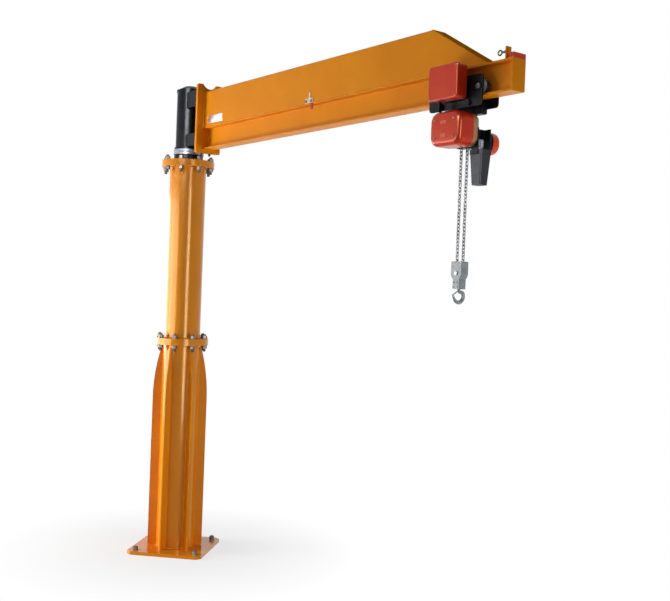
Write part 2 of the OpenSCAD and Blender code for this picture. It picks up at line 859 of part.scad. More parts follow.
module chain_falls() color(steel)
    for (s = [-1, 1], i = [0 : link_n - 1])
        translate([trolley_x + s * fall_gap / 2, fall_y, chain_top_z - link_l / 2 - i * link_step])
            rotate(i % 2 * 90) chain_link();

// Straps from the gear housing's side to the rim of the bucket
module bucket_hanger() color(black) {
    side_x = trolley_x + gear_w / 2;
    first_y = bucket_y - bucket_d / 2 - hanger_t;
    translate([side_x, first_y, gear_bottom_z + hanger_low])
        cube([hanger_t, bucket_d + 2 * hanger_t, hanger_high - hanger_low]);
    for (y = [first_y, bucket_y + bucket_d / 2])
        translate([side_x, y, bucket_top_z - rim_band])
            cube([hanger_arm, hanger_t, gear_bottom_z + hanger_high - bucket_top_z + rim_band]);
}

module bin_shape(less, h)
    mirror([0, 0, 1]) translate([0, 0, -h]) linear_extrude(h, scale = bucket_taper)
        rounded_rect(bucket_w - less, bucket_d - less, 12, $fn = 24);

// Open bin that narrows to its foot, with a straight rim
module chain_bucket() color(black) {
    bin_h = bucket_h - rim_band;
    translate([bucket_x, bucket_y, bucket_top_z - bucket_h]) difference() {
        union() {
            bin_shape(4, bin_h);
            translate([0, 0, bin_h]) linear_extrude(rim_band) rounded_rect(bucket_w, bucket_d, 12);
        }
        translate([0, 0, bucket_wall]) bin_shape(4 + 2 * bucket_wall, bin_h);
        translate([0, 0, bin_h]) linear_extrude(rim_band + 1)
            rounded_rect(bucket_w - 2 * bucket_wall, bucket_d - 2 * bucket_wall, 12 - bucket_wall);
    }
}

// ---------- Hook block ----------

module at_block(z) translate([trolley_x, fall_y, z]) children();

module block_outline() {
    circle(r = block_w / 2);
    top = block_top_z - sheave_z;
    translate([-block_w / 2, 0]) square([block_w, top - 8]);
    translate([-block_w / 2 + 8, 0]) square([block_w - 16, top]);
    for (s = [-1, 1]) translate([s * (block_w / 2 - 8), top - 8]) circle(r = 8);
    translate([-block_neck_w / 2, block_bottom_z - sheave_z])
        square([block_neck_w, sheave_z - block_bottom_z]);
}

// Two joined cheeks with a pocket for the sheave and a seat for the hook's nut
module block_housing() color(grey)
    at_block(sheave_z) difference() {
        across(-block_d / 2, block_d) block_outline();
        across(-cavity_d / 2, cavity_d) {
            circle(r = cavity_w / 2);
            translate([-cavity_w / 2, 0]) square([cavity_w, block_h]);
        }
        rotate([90, 0, 0]) cylinder(d = pin_d, h = block_d + 2, center = true);
        translate([0, 0, block_bottom_z - sheave_z - 1])
            cylinder(d = shank_d + 2 * swivel_gap, h = block_floor + 2);
        translate([0, 0, block_bottom_z - sheave_z + block_floor])
            cylinder(d = nut_d + 8, h = nut_h + 8);
    }

// Idler with a drum for the flat links, a slot for the upright ones and a guard on each side
module sheave() color(steel)
    at_block(sheave_z) rotate([90, 0, 0]) rotate_extrude() {
        translate([pin_d / 2, -rim_gap_w / 2]) square([slot_r - pin_d / 2, rim_gap_w]);
        for (s = [-1, 1]) {
            translate([pin_d / 2, s * (slot_w + rim_gap_w) / 4 - (rim_gap_w - slot_w) / 4])
                square([drum_r - pin_d / 2, (rim_gap_w - slot_w) / 2]);
            translate([pin_d / 2, s * (rim_gap_w + 1.6) / 2 - 0.8]) square([guard_r - pin_d / 2, 1.6]);
        }
    }

module sheave_pin() color(steel)
    at_block(sheave_z) rotate([90, 0, 0]) {
        cylinder(d = pin_d, h = block_d + 4, center = true);
        for (s = [-1, 1]) translate([0, 0, s * (block_d / 2 + 2.5)])
            cylinder(d = pin_d + 8, h = 5, center = true);
    }

// ---------- Hook ----------

function bezier(a, b, c, d, t) =
    pow(1 - t, 3) * a + 3 * pow(1 - t, 2) * t * b + 3 * (1 - t) * t * t * c + pow(t, 3) * d;

function tip_flare(a) = a > -140 ? 0 : 9 * pow((-140 - a) / 55, 2);

function hook_ahead(i) =
    let (d = hook_line[min(i + 1, hook_rings - 1)] - hook_line[max(i - 1, 0)]) d / norm(d);

// Half thickness of the hook along its line: full under the load, thin at the tip
function hook_half(i) =
    let (t = i / (hook_rings - 1))
    t < 0.55 ? shank_d / 2 + (hook_t - shank_d) / 2 * sin(t / 0.55 * 90)
             : hook_t / 2 - (hook_t / 2 - 4.5) * pow((t - 0.55) / 0.45, 1.6);

function hook_ring(i) =
    let (c = hook_line[i], d = hook_ahead(i), r = hook_half(i))
    [for (k = [0 : hook_sides - 1])
        let (u = r * cos(k * 360 / hook_sides), v = r * 0.86 * sin(k * 360 / hook_sides))
        [v, c[0] - d[1] * u, c[1] + d[0] * u]];

module hook_body()
    polyhedron(
        points = [for (i = [0 : hook_rings - 1]) each hook_ring(i)],
        faces = concat(
            [[for (k = [0 : hook_sides - 1]) k]],
            [[for (k = [hook_sides - 1 : -1 : 0]) (hook_rings - 1) * hook_sides + k]],
            [for (i = [0 : hook_rings - 2], k = [0 : hook_sides - 1])
                let (a = i * hook_sides, b = a + hook_sides, n = (k + 1) % hook_sides)
                each [[a + k, b + k, a + n], [b + k, b + n, a + n]]]));

module hook() color(grey)
    at_block(hook_z) {
        hook_body();
        translate([0, 0, hook_neck_h - 1])
            cylinder(d = shank_d, h = nut_z - hook_z - hook_neck_h + 2);
        translate([0, 0, nut_z - hook_z]) cylinder(d = nut_d, h = nut_h, $fn = 6);
    }

// Sprung tongue that closes the mouth of the hook
module hook_latch() color(steel)
    at_block(hook_z) {
        tip = [-hook_r - 1.3, 8];
        neck = [-shank_d / 2 - 0.6, hook_neck_h - 5];
        run = neck - tip;
        translate([-latch_w / 2, tip[0], tip[1]]) rotate([atan2(run[1], run[0]), 0, 0])
            cube([latch_w, norm(run), latch_t]);
    }

// ---------- Assembly ----------

base_plate();
lower_tube();
column_ribs();
lower_joint_flange();
upper_joint_flange();
upper_tube();
head_flange();
head_plate();
head_collar();
bearing_ring();
spindle();
spindle_cap();
sleeve();
upper_bracket();
lower_bracket();
end_plate();
i_beam();
upper_box();
box_end();
tip_plate();
tip_bar();
trip_plate();
eye_bracket();
eye_bolt();
near_side_plate();
far_side_plate();
wheels();
axles();
tie_bars();
suspension_lug();
control_bracket();
control_box();
motor_cover();
motor_band();
gear_housing();
brake_housing();
chain_guide();
end_cap();
chain_falls();
bucket_hanger();
chain_bucket();
block_housing();
sheave();
sheave_pin();
hook();
hook_latch();
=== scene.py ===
"""Finish, fasteners, welds, camera and light for the pillar jib crane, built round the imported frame."""
import json
import math

import bmesh
import bpy
from mathutils import Matrix, Vector


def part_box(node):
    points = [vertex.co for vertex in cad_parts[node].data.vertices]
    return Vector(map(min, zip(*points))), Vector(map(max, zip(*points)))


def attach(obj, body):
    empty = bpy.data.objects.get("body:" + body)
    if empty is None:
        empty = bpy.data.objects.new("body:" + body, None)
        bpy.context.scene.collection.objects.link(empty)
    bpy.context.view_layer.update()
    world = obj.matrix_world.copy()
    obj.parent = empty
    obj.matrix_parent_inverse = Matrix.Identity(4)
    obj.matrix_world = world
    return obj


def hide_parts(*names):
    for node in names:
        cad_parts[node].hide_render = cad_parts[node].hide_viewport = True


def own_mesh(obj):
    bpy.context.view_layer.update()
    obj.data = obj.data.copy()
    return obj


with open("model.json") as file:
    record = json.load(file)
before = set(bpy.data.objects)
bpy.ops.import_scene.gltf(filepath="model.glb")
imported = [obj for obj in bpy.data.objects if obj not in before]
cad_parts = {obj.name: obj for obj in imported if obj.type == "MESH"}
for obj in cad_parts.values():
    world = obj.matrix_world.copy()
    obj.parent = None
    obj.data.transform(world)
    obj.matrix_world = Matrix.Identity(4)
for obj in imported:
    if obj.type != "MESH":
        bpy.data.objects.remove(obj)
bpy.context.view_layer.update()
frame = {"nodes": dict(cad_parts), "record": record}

# The frame is in metres
MM = 0.001
NEAR_ZERO = 1e-6


# ---------- Sizes ----------

# Studs through the flanges, how far in their holes are, and the nuts on the foundation's anchors
STUD = 24 * MM
STUD_TOP_THREAD = 10 * MM
STUD_FOOT_THREAD = 22 * MM
FLANGE_HOLES = 8
FLANGE_HOLE_EDGE = 22 * MM
ANCHORS = 4
ANCHOR_CIRCLE_R = 325 * MM
ANCHOR_THREAD = 4 * MM

# Ribs of the column
RIBS = 6
RIB_HALF_T = 5 * MM

# Weld beads: half their width, how far their line lies off the faces that they join, and how far
# they stop short of the box's top and tip
FOOT_BEAD = 7 * MM
FOOT_BEAD_RISE = 2 * MM
FLANGE_BEAD = 6 * MM
RING_BEAD_OFF = 1 * MM
RIB_BEAD = 4 * MM
PLATE_BEAD = 4 * MM
BOX_BEAD = 3 * MM
BOX_BEAD_OFF = 0.5 * MM
BOX_BEAD_TOP_GAP = 10 * MM
BOX_BEAD_TIP_GAP = 60 * MM
TIP_BEAD = 2.5 * MM

# Setting nuts under the end plate
SETTING_NUT = 13 * MM
SETTING_NUT_THREAD = 4 * MM
SETTING_NUT_Y = (-48 * MM, 19 * MM)

# Bare plate on the box's side, and its rivets, whose heads are flatter than a ball by RIVET_DOME
BARE_PLATE_FROM_END = 60 * MM
BARE_PLATE_RISE = 22 * MM
BARE_PLATE_L = 210 * MM
BARE_PLATE_H = 52 * MM
BARE_PLATE_T = 1.2 * MM
BARE_PLATE_EDGE = 0.5 * MM
RIVET_EDGE = 8 * MM
RIVET_R = 2.6 * MM
RIVET_DOME = 0.45

# Red housings of the hoist: radius of the corners along Y, and of the outer end's edge
COVER_CORNER = 52 * MM
CAP_CORNER = 54 * MM
HOUSING_EDGE = 24 * MM

# Load chain, with 0.3 mm of play in each link
CHAIN_WIRE = 6.3 * MM
CHAIN_PITCH = 19 * MM
LINK_L = CHAIN_PITCH + 2 * CHAIN_WIRE
LINK_W = 21 * MM
LINK_STEP = CHAIN_PITCH - 0.3 * MM
FALL_LINKS = 34

# Screws, and how far in from the edges they sit
SMALL_SCREW = 5 * MM
COVER_SCREW = 8 * MM
TRIP_BOLT_FLATS = 15 * MM
TRIP_BOLT_H = 7.5 * MM
TRIP_WASHER_BORE_R = 5.4 * MM
TRIP_WASHER_R = 9.5 * MM
TRIP_WASHER_T = 1.6 * MM
LID_SCREW_EDGE = 13 * MM
COVER_SCREW_EDGE = 44 * MM
CAP_SCREW_EDGE = 38 * MM
CHEEK_SCREW_X = 13 * MM
CHEEK_SCREW_Z = (12 * MM, 34 * MM)
TRIP_BOLT_EDGE = 12 * MM

# Blank labels on the motor cover: how far up it each one is, as a share, then its width and height.
# LABEL_PLACE is how far along it they are, as a share
LABELS = ((0.68, 40 * MM, 15 * MM), (0.3, 32 * MM, 20 * MM))
LABEL_T = 0.3 * MM
LABEL_EDGE = 0.1 * MM
LABEL_PLACE = 0.46

# Each side's number in the names of pieces, and its sign along Y
SIDES = ((1, -1), (3, 1))

# Turns in radians from one fastener to the next, as hand-set ones stop
STUD_TURN = 0.9
ANCHOR_TURN = 0.4
SCREW_TURN = 0.7


# ---------- Places from the frame ----------

base_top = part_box("base_plate")[1].z
tube_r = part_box("lower_tube")[1].x
plate_low, plate_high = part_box("end_plate")
beam_low, beam_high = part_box("i_beam")
box_low, box_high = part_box("upper_box")


# ---------- Modelling helpers ----------

def deselect():
    """Object mode with nothing selected."""
    if bpy.context.mode != "OBJECT":
        bpy.ops.object.mode_set(mode="OBJECT")
    bpy.ops.object.select_all(action="DESELECT")


def pick(piece):
    """Makes one piece the only selected and active one."""
    deselect()
    piece.select_set(True)
    bpy.context.view_layer.objects.active = piece
    return piece


def settle(name):
    """Names the active piece and moves its place into its mesh."""
    piece = pick(bpy.context.view_layer.objects.active)
    bpy.ops.object.transform_apply(location=True, rotation=True, scale=True)
    piece.name = name
    piece.data.name = name
    return piece


def block(name, low, high):
    """A plain block between two corners."""
    low, high = Vector(low), Vector(high)
    deselect()
    bpy.ops.mesh.primitive_cube_add(size=1, location=(low + high) / 2)
    bpy.context.active_object.scale = high - low
    return settle(name)


def rod(name, radius, start, end, sides=32):
    """A round bar from one point to another."""
    start, end = Vector(start), Vector(end)
    deselect()
    bpy.ops.mesh.primitive_cylinder_add(vertices=sides, radius=radius, depth=(end - start).length,
                                        location=(start + end) / 2)
    bpy.context.active_object.rotation_euler = (end - start).to_track_quat("Z", "Y").to_euler()
    return settle(name)


def apply_modifier(piece, kind, **settings):
    """Adds a modifier to one piece and applies it."""
    pick(piece)
    modifier = piece.modifiers.new(kind.title(), kind)
    for key, value in settings.items():
        setattr(modifier, key, value)
    bpy.ops.object.modifier_apply(modifier=modifier.name)
    return piece


def round_edges(piece, width, segments=3, angle=35):
    """Rounds the edges that are sharper than angle."""
    return apply_modifier(piece, "BEVEL", width=width, segments=segments, limit_method="ANGLE",
                          angle_limit=math.radians(angle), harden_normals=False)


def smooth(piece, angle=35):
    """Shades a piece smooth, except over edges sharper than angle."""
    pick(piece)
    bpy.ops.object.shade_smooth_by_angle(angle=math.radians(angle))
    return piece


def join(name, pieces):
    """Makes several pieces one."""
    deselect()
    for piece in pieces:
        piece.select_set(True)
    bpy.context.view_layer.objects.active = pieces[0]
    bpy.ops.object.join()
    return settle(name)


def cut(piece, cutter, operation="DIFFERENCE"):
    """Cuts a piece with another, which is used up."""
    apply_modifier(piece, "BOOLEAN", object=cutter, operation=operation, solver="EXACT")
    bpy.data.objects.remove(cutter)
    return piece


def copy_to(piece, name, place):
    """A copy with its own mesh, moved by a matrix."""
    twin = piece.copy()
    twin.data = piece.data.copy()
    twin.data.transform(place)
    twin.name = name
    twin.data.name = name
    bpy.context.collection.objects.link(twin)
    return twin


def edit_faces(piece, test):
    """Goes into edit mode with the faces selected for which test(centre, normal) is true."""
    pick(piece)
    bpy.ops.object.mode_set(mode="EDIT")
    bpy.ops.mesh.select_mode(type="FACE")
    bpy.ops.mesh.select_all(action="DESELECT")
    mesh = bmesh.from_edit_mesh(piece.data)
    for face in mesh.faces:
        face.select_set(bool(test(face.calc_center_median(), face.normal)))
    bmesh.update_edit_mesh(piece.data)


def leave_edit():
    bpy.ops.object.mode_set(mode="OBJECT")


def finish_piece(piece, material, body):
    """Gives a piece its material and the body that it moves with."""
    piece.data.materials.clear()
    piece.data.materials.append(material)
    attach(piece, body)


# ---------- Materials ----------

def linear(red, green, blue):
    """Colour written as it looks on a screen, 0 to 255."""
    shares = (red / 255, green / 255, blue / 255)
    return tuple(((c + 0.055) / 1.055) ** 2.4 if c > 0.04 else c / 12.92 for c in shares)


def darker(colour, share):
    return tuple(share * c for c in colour)


# A Mix node has sockets for each kind of value; these are the ones for colours
MIX_FIRST = 6
MIX_SECOND = 7
MIX_RESULT = 2


class Finish:
    """One node material: a surface shader with patterns on object coordinates."""

    def __init__(self, name, metallic=0.0, coat=0.0, coat_roughness=0.1, specular=0.5):
        self.material = bpy.data.materials.new(name)
        self.material.use_nodes = True
        self.nodes = self.material.node_tree.nodes
        self.links = self.material.node_tree.links
        self.surface = self.nodes["Principled BSDF"]
        self.surface.inputs["Metallic"].default_value = metallic
        self.surface.inputs["Coat Weight"].default_value = coat
        self.surface.inputs["Coat Roughness"].default_value = coat_roughness
        self.surface.inputs["Specular IOR Level"].default_value = specular
        self.place = self.nodes.new("ShaderNodeTexCoord").outputs["Object"]

    def stretched(self, scale):
        """Object coordinates scaled differently along the axes."""
        mapping = self.nodes.new("ShaderNodeMapping")
        mapping.inputs["Scale"].default_value = scale
        self.links.new(self.place, mapping.inputs["Vector"])
        return mapping.outputs["Vector"]

    def noise(self, scale, detail=3.0, roughness=0.5, vector=None):
        """Cloudy values about 1 / scale metres apart."""
        node = self.nodes.new("ShaderNodeTexNoise")
        node.inputs["Scale"].default_value = scale
        node.inputs["Detail"].default_value = detail
        node.inputs["Roughness"].default_value = roughness
        self.links.new(vector or self.place, node.inputs["Vector"])
        return node.outputs["Fac"]

    def cells(self, scale):
        """Pebbled values about 1 / scale metres apart."""
        node = self.nodes.new("ShaderNodeTexVoronoi")
        node.inputs["Scale"].default_value = scale
        self.links.new(self.place, node.inputs["Vector"])
        return node.outputs["Distance"]

    def remap(self, value, low, high, to_low, to_high):
        """Carries the values from low to high over to those from to_low to to_high."""
        node = self.nodes.new("ShaderNodeMapRange")
        for name, number in (("From Min", low), ("From Max", high), ("To Min", to_low), ("To Max", to_high)):
            node.inputs[name].default_value = number
        self.links.new(value, node.inputs["Value"])
        return node.outputs["Result"]

    def blend(self, factor, first, second):
        """From the first colour at 0 to the second at 1."""
        node = self.nodes.new("ShaderNodeMix")
        node.data_type = "RGBA"
        self.links.new(factor, node.inputs["Factor"])
        for socket, colour in ((node.inputs[MIX_FIRST], first), (node.inputs[MIX_SECOND], second)):
            if isinstance(colour, tuple):
                socket.default_value = (*colour, 1)
            else:
                self.links.new(colour, socket)
        return node.outputs[MIX_RESULT]

    def colour(self, socket):
        self.links.new(socket, self.surface.inputs["Base Color"])

    def roughness(self, socket):
        self.links.new(socket, self.surface.inputs["Roughness"])

    def bump(self, heights, soft_edge=0.0):
        """Bumps from (height socket, depth in metres) pairs, on edges softened by soft_edge."""
        normal = None
        if soft_edge:
            edge = self.nodes.new("ShaderNodeBevel")
            edge.samples = 4
            edge.inputs["Radius"].default_value = soft_edge
            normal = edge.outputs["Normal"]
        for height, depth in heights:
            node = self.nodes.new("ShaderNodeBump")
            node.inputs["Distance"].default_value = depth
            self.links.new(height, node.inputs["Height"])
            if normal:
                self.links.new(normal, node.inputs["Normal"])
            normal = node.outputs["Normal"]
        self.links.new(normal, self.surface.inputs["Normal"])
        return self.material


def enamel(name, light, dark, shine=(0.24, 0.32), peel=0.000008, coat=0.05, specular=0.5, soft_edge=0.0015,
           tint=(1.0, 0.55, 0.14)):
    """Sprayed gloss paint: slight batches of tone, orange peel and a few dust nibs."""
    paint = Finish(name, coat=coat, coat_roughness=0.07, specular=specular)
    paint.surface.inputs["Specular Tint"].default_value = (*tint, 1)
    batches = paint.noise(1.7, 4.0, 0.6)
    runs = paint.noise(6.0, 3.0, 0.5, paint.stretched((1.0, 1.0, 0.18)))
    tone = paint.blend(paint.remap(batches, 0.35, 0.65, 0.0, 1.0), light, dark)
    streaked = paint.blend(paint.remap(runs, 0.45, 0.75, 0.0, 0.3), tone, dark)
    dust = paint.remap(paint.noise(190.0, 2.0), 0.68, 0.8, 0.0, 0.08)
    paint.colour(paint.blend(dust, streaked, darker(dark, 0.6)))
    paint.roughness(paint.remap(paint.noise(9.0, 4.0, 0.6), 0.3, 0.7, *shine))
    skin = paint.noise(260.0, 1.0, 0.3)
    waves = paint.noise(45.0, 1.0, 0.3)
    return paint.bump([(skin, peel * 0.3), (waves, peel * 1.6)], soft_edge)


TWO_TONE_BLUR = 1 * MM


def two_tone_enamel(name, top, foot, level):
    """Gloss enamel in one colour above a level and another below it."""
    paint = Finish(name, coat=0.1, coat_roughness=0.07, specular=0.3)
    split = paint.nodes.new("ShaderNodeSeparateXYZ")
    paint.links.new(paint.place, split.inputs[0])
    above = paint.remap(split.outputs["Z"], level - TWO_TONE_BLUR, level + TWO_TONE_BLUR, 0.0, 1.0)
    batches = paint.remap(paint.noise(30.0, 4.0, 0.6), 0.35, 0.7, 0.0, 1.0)
    upper = paint.blend(batches, top, darker(top, 0.86))
    lower = paint.blend(batches, foot, darker(foot, 0.7))
    paint.colour(paint.blend(above, lower, upper))
    paint.roughness(paint.remap(paint.noise(40.0, 3.0), 0.3, 0.7, 0.24, 0.34))
    return paint.bump([(paint.noise(120.0, 1.0, 0.3), 0.000008)], 0.001)


def satin(name, light, dark, shine=(0.38, 0.55), grain=0.00002, scale=600.0, specular=0.4, metallic=0.0):
    """Satin paint or moulded plastic with a fine grain."""
    skin = Finish(name, metallic=metallic, specular=specular)
    skin.colour(skin.blend(skin.remap(skin.noise(14.0, 5.0, 0.6), 0.35, 0.7, 0.0, 1.0), light, dark))
    skin.roughness(skin.remap(skin.noise(30.0, 3.0), 0.3, 0.7, *shine))
    return skin.bump([(skin.noise(scale, 2.0), grain)], 0.001)


def turned_steel(name, light, dark, shine=(0.18, 0.34), lines=(60.0, 60.0, 1400.0), metallic=1.0):
    """Machined steel with fine tool lines across its axis."""
    metal = Finish(name, metallic=metallic)
    wear = metal.noise(22.0, 4.0, 0.6)
    metal.colour(metal.blend(metal.remap(wear, 0.35, 0.7, 0.0, 1.0), light, dark))
    metal.roughness(metal.remap(metal.noise(3.0, 3.0, 0.5, metal.stretched(lines)), 0.3, 0.7, *shine))
    cuts = metal.noise(1.0, 2.0, 0.5, metal.stretched(lines))
    return metal.bump([(cuts, 0.00001)], 0.0006)


def cast(name, light, dark):
    """Sand or die casting: pebbled skin under a thin finish."""
    metal = Finish(name, metallic=0.85, specular=0.5)
    metal.colour(metal.blend(metal.remap(metal.noise(40.0, 5.0, 0.65), 0.3, 0.7, 0.0, 1.0), light, dark))
    metal.roughness(metal.remap(metal.noise(70.0, 3.0), 0.3, 0.7, 0.34, 0.5))
    return metal.bump([(metal.cells(300.0), 0.00005), (metal.noise(700.0, 2.0), 0.00002)], 0.001)


ORANGE = linear(232, 144, 16)
ORANGE_DEEP = linear(222, 131, 12)
RED = linear(220, 62, 26)
RED_DEEP = linear(202, 44, 18)
BLACK = linear(20, 22, 26)
BLACK_DEEP = linear(12, 13, 16)
BLACK_GLOSS = {"coat": 0.0, "specular": 0.11, "tint": (0.9, 0.95, 1.0)}

FINISHES = {
    "column_paint": enamel("column_enamel", ORANGE, ORANGE_DEEP, shine=(0.14, 0.22), coat=0.06, specular=0.4,
                           tint=(1.0, 0.7, 0.34)),
    "arm_paint": enamel("arm_enamel", ORANGE, ORANGE_DEEP, shine=(0.34, 0.44), coat=0.0, specular=0.12),
    "black_paint": enamel("black_enamel", BLACK, BLACK_DEEP, shine=(0.24, 0.34), **BLACK_GLOSS),
    "red_paint": enamel("red_enamel", RED, RED_DEEP, shine=(0.18, 0.28), tint=(1.0, 0.3, 0.16)),
    "band_paint": satin("tan_enamel", linear(184, 136, 98), linear(166, 116, 80), shine=(0.34, 0.46),
                        specular=0.25),
    "cast_aluminium": cast("cast_aluminium", linear(178, 182, 186), linear(132, 136, 141)),
    "bright_steel": turned_steel("machined_steel", linear(150, 150, 162), linear(112, 112, 124), (0.3, 0.45),
                                 metallic=0.35),
    "chain_steel": turned_steel("chain_steel", linear(140, 142, 145), linear(96, 98, 101), (0.35, 0.5),
                                (300.0, 300.0, 300.0), metallic=0.35),
    "hook_paint": satin("grey_enamel", linear(150, 158, 161), linear(122, 131, 135), shine=(0.3, 0.42),
                       specular=0.3),
    "trip_finish": two_tone_enamel("white_and_red_enamel", linear(240, 222, 190), RED_DEEP, beam_high.z),
    "dark_steel": turned_steel("blackened_steel", linear(74, 72, 72), linear(46, 45, 46), (0.3, 0.45),
                               (240.0, 240.0, 240.0)),
    "bucket_plastic": satin("bucket_plastic", linear(36, 40, 48), linear(26, 29, 35), shine=(0.4, 0.55),
                            grain=0.00003, scale=500.0, specular=0.2),
}
ZINC_BOLT = satin("dull_zinc", linear(120, 112, 100), linear(78, 72, 66), shine=(0.35, 0.5), grain=0.00002,
                  metallic=0.6)
BLACK_OXIDE = satin("black_oxide", linear(48, 46, 46), linear(30, 29, 30), shine=(0.35, 0.5), metallic=0.4)
BLANK_LABEL = satin("blank_label", linear(216, 98, 46), linear(206, 88, 40), shine=(0.4, 0.5),
                    grain=0.000005, specular=0.2)
WELD = enamel("painted_weld", ORANGE, ORANGE_DEEP, shine=(0.2, 0.3), peel=0.00003, soft_edge=0)
BLACK_WELD = enamel("painted_black_weld", BLACK, BLACK_DEEP, shine=(0.25, 0.35), peel=0.00003, soft_edge=0,
                    **BLACK_GLOSS)
BARE_ALUMINIUM = turned_steel("bare_aluminium_plate", linear(238, 240, 242), linear(222, 225, 229),
                              (0.22, 0.34), (900.0, 20.0, 900.0))

# The box's sloping end has a flatter coat
FLAT_ORANGE = enamel("flat_enamel", ORANGE, ORANGE_DEEP, shine=(0.55, 0.65), coat=0.0, specular=0.0)


def paint_cad_nodes():
    """Gives each CAD node the finish of its slot."""
    for part in frame["record"]["subparts"]:
        cad_node = frame["nodes"][part["node"]]
        cad_node.data.materials.clear()
        finish = FLAT_ORANGE if part["node"] == "box_end" else FINISHES[part["material_slot"]]
        cad_node.data.materials.append(finish)


paint_cad_nodes()


# ---------- Fasteners ----------

# Shares of the thread's diameter
WASHER_T = 0.16
WASHER_BORE_R = 0.54
WASHER_R = 0.92
NUT_FLATS = 1.5
NUT_H = 0.86
THREAD_STEP = 0.12
SCREW_HEAD_R = 0.75
SCREW_HEAD_H = 0.6
SCREW_HEAD_EDGE = 0.08
SCREW_SOCKET_R = 0.45
SCREW_SOCKET_FLOOR = 0.25

# The thread's root as a share of its radius, and how far down in the nut its stub starts
THREAD_ROOT = 0.86
THREAD_SUNK = 0.1

# A hexagon's chamfer and the width it is turned to, as shares of its corner radius, and a washer's edge
# as a share of its thickness
HEX_CHAMFER = 0.14
HEX_TURNED = 1.001
WASHER_EDGE = 0.15


def hex_body(name, across_flats, height):
    """A hexagon with the turned chamfer of a bolt head or nut on its top and bottom, standing on z 0."""
    corner = across_flats / math.sqrt(3)
    deselect()
    bpy.ops.mesh.primitive_cylinder_add(vertices=6, radius=corner, depth=height, location=(0, 0, height / 2))
    prism = settle(name)
    turned = rod("turned", corner * HEX_TURNED, (0, 0, 0), (0, 0, height), 48)
    edit_faces(turned, lambda centre, normal: abs(normal.z) > 0.9)
    bpy.ops.mesh.bevel(offset=corner * HEX_CHAMFER, segments=1)
    leave_edit()
    return cut(prism, turned, "INTERSECT")


def threaded_end(name, radius, length, pitch):
    """A threaded stub standing on z 0, its ridges extruded one by one."""
    deselect()
    bpy.ops.mesh.primitive_circle_add(vertices=20, radius=radius, fill_type="NGON")
    stub = settle(name)
    edit_faces(stub, lambda centre, normal: True)
    for turn in range(int(length / pitch)):
        for scale in (THREAD_ROOT, 1 / THREAD_ROOT):
            bpy.ops.mesh.extrude_region_move(TRANSFORM_OT_translate={"value": (0, 0, pitch / 2)})
            bpy.ops.transform.resize(value=(scale, scale, 1))
    bpy.ops.mesh.extrude_region_move(TRANSFORM_OT_translate={"value": (0, 0, pitch / 2)})
    bpy.ops.transform.resize(value=(THREAD_ROOT, THREAD_ROOT, 1))
    leave_edit()
    return stub


def washer(name, bore, outside, thick):
    """A flat washer standing on z 0."""
    ring = rod(name, outside, (0, 0, 0), (0, 0, thick), 32)
    cut(ring, rod("bore", bore, (0, 0, -thick), (0, 0, 2 * thick), 32))
    return round_edges(ring, thick * WASHER_EDGE, 1)


def nut_stack(name, size, thread):
    """Washer, nut and thread end of a stud, standing on z 0."""
    washer_t = WASHER_T * size
    nut_h = NUT_H * size
    ring = washer("ring", WASHER_BORE_R * size, WASHER_R * size, washer_t)
    nut = hex_body("nut", NUT_FLATS * size, nut_h)
    nut.data.transform(Matrix.Translation((0, 0, washer_t)))
    end = threaded_end("thread_end", size / 2, thread + THREAD_SUNK * size, THREAD_STEP * size)
    end.data.transform(Matrix.Translation((0, 0, washer_t + (1 - THREAD_SUNK) * nut_h)))
    return smooth(join(name, [ring, nut, end]), 30)


def stud(name, size, clamp, top_thread, foot_thread):
    """Threaded stud through a clamped thickness, a nut above z 0 and another below -clamp."""
    top = nut_stack("top", size, top_thread)
    foot = nut_stack("foot", size, foot_thread)
    foot.data.transform(Matrix.Rotation(math.pi, 4, "X"))
    foot.data.transform(Matrix.Translation((0, 0, -clamp)))
    return join(name, [top, foot, rod("shank", size / 2, (0, 0, 0), (0, 0, -clamp), 20)])


def cap_screw(name, size):
    """Cap head screw with a hexagon socket, its head standing on z 0."""
    head = rod(name, SCREW_HEAD_R * size, (0, 0, 0), (0, 0, SCREW_HEAD_H * size), 24)
    round_edges(head, SCREW_HEAD_EDGE * size, 2)
    cut(head, rod("socket", SCREW_SOCKET_R * size, (0, 0, SCREW_SOCKET_FLOOR * size), (0, 0, size), 6))
    return smooth(head, 30)


def hex_bolt(name):
    """Hexagon head on its washer, standing on z 0."""
    ring = washer("ring", TRIP_WASHER_BORE_R, TRIP_WASHER_R, TRIP_WASHER_T)
    return smooth(join(name, [ring, hex_body("head", TRIP_BOLT_FLATS, TRIP_BOLT_H)]), 30)


def set_screws(prefix, screw, places, facing, body):
    """Copies of a screw at places, their heads facing one way."""
    turn = Vector(facing).to_track_quat("Z", "Y").to_matrix().to_4x4()
    for number, place in enumerate(places):
        seat = Matrix.Translation(place) @ turn @ Matrix.Rotation(SCREW_TURN * number, 4, "Z")
        finish_piece(copy_to(screw, f"{prefix}_{number + 1}", seat), ZINC_BOLT, body)


def corners(low, high, edge, y):
    """The four points near the corners of an upright face across the arm."""
    return [(x, y, z) for x in (low.x + edge, high.x - edge) for z in (low.z + edge, high.z - edge)]


# ---------- Welds ----------

# Step between ripples and half a ripple's length, as shares of a bead's half width
BEAD_STEP = 0.75
BEAD_FLAT = 0.8


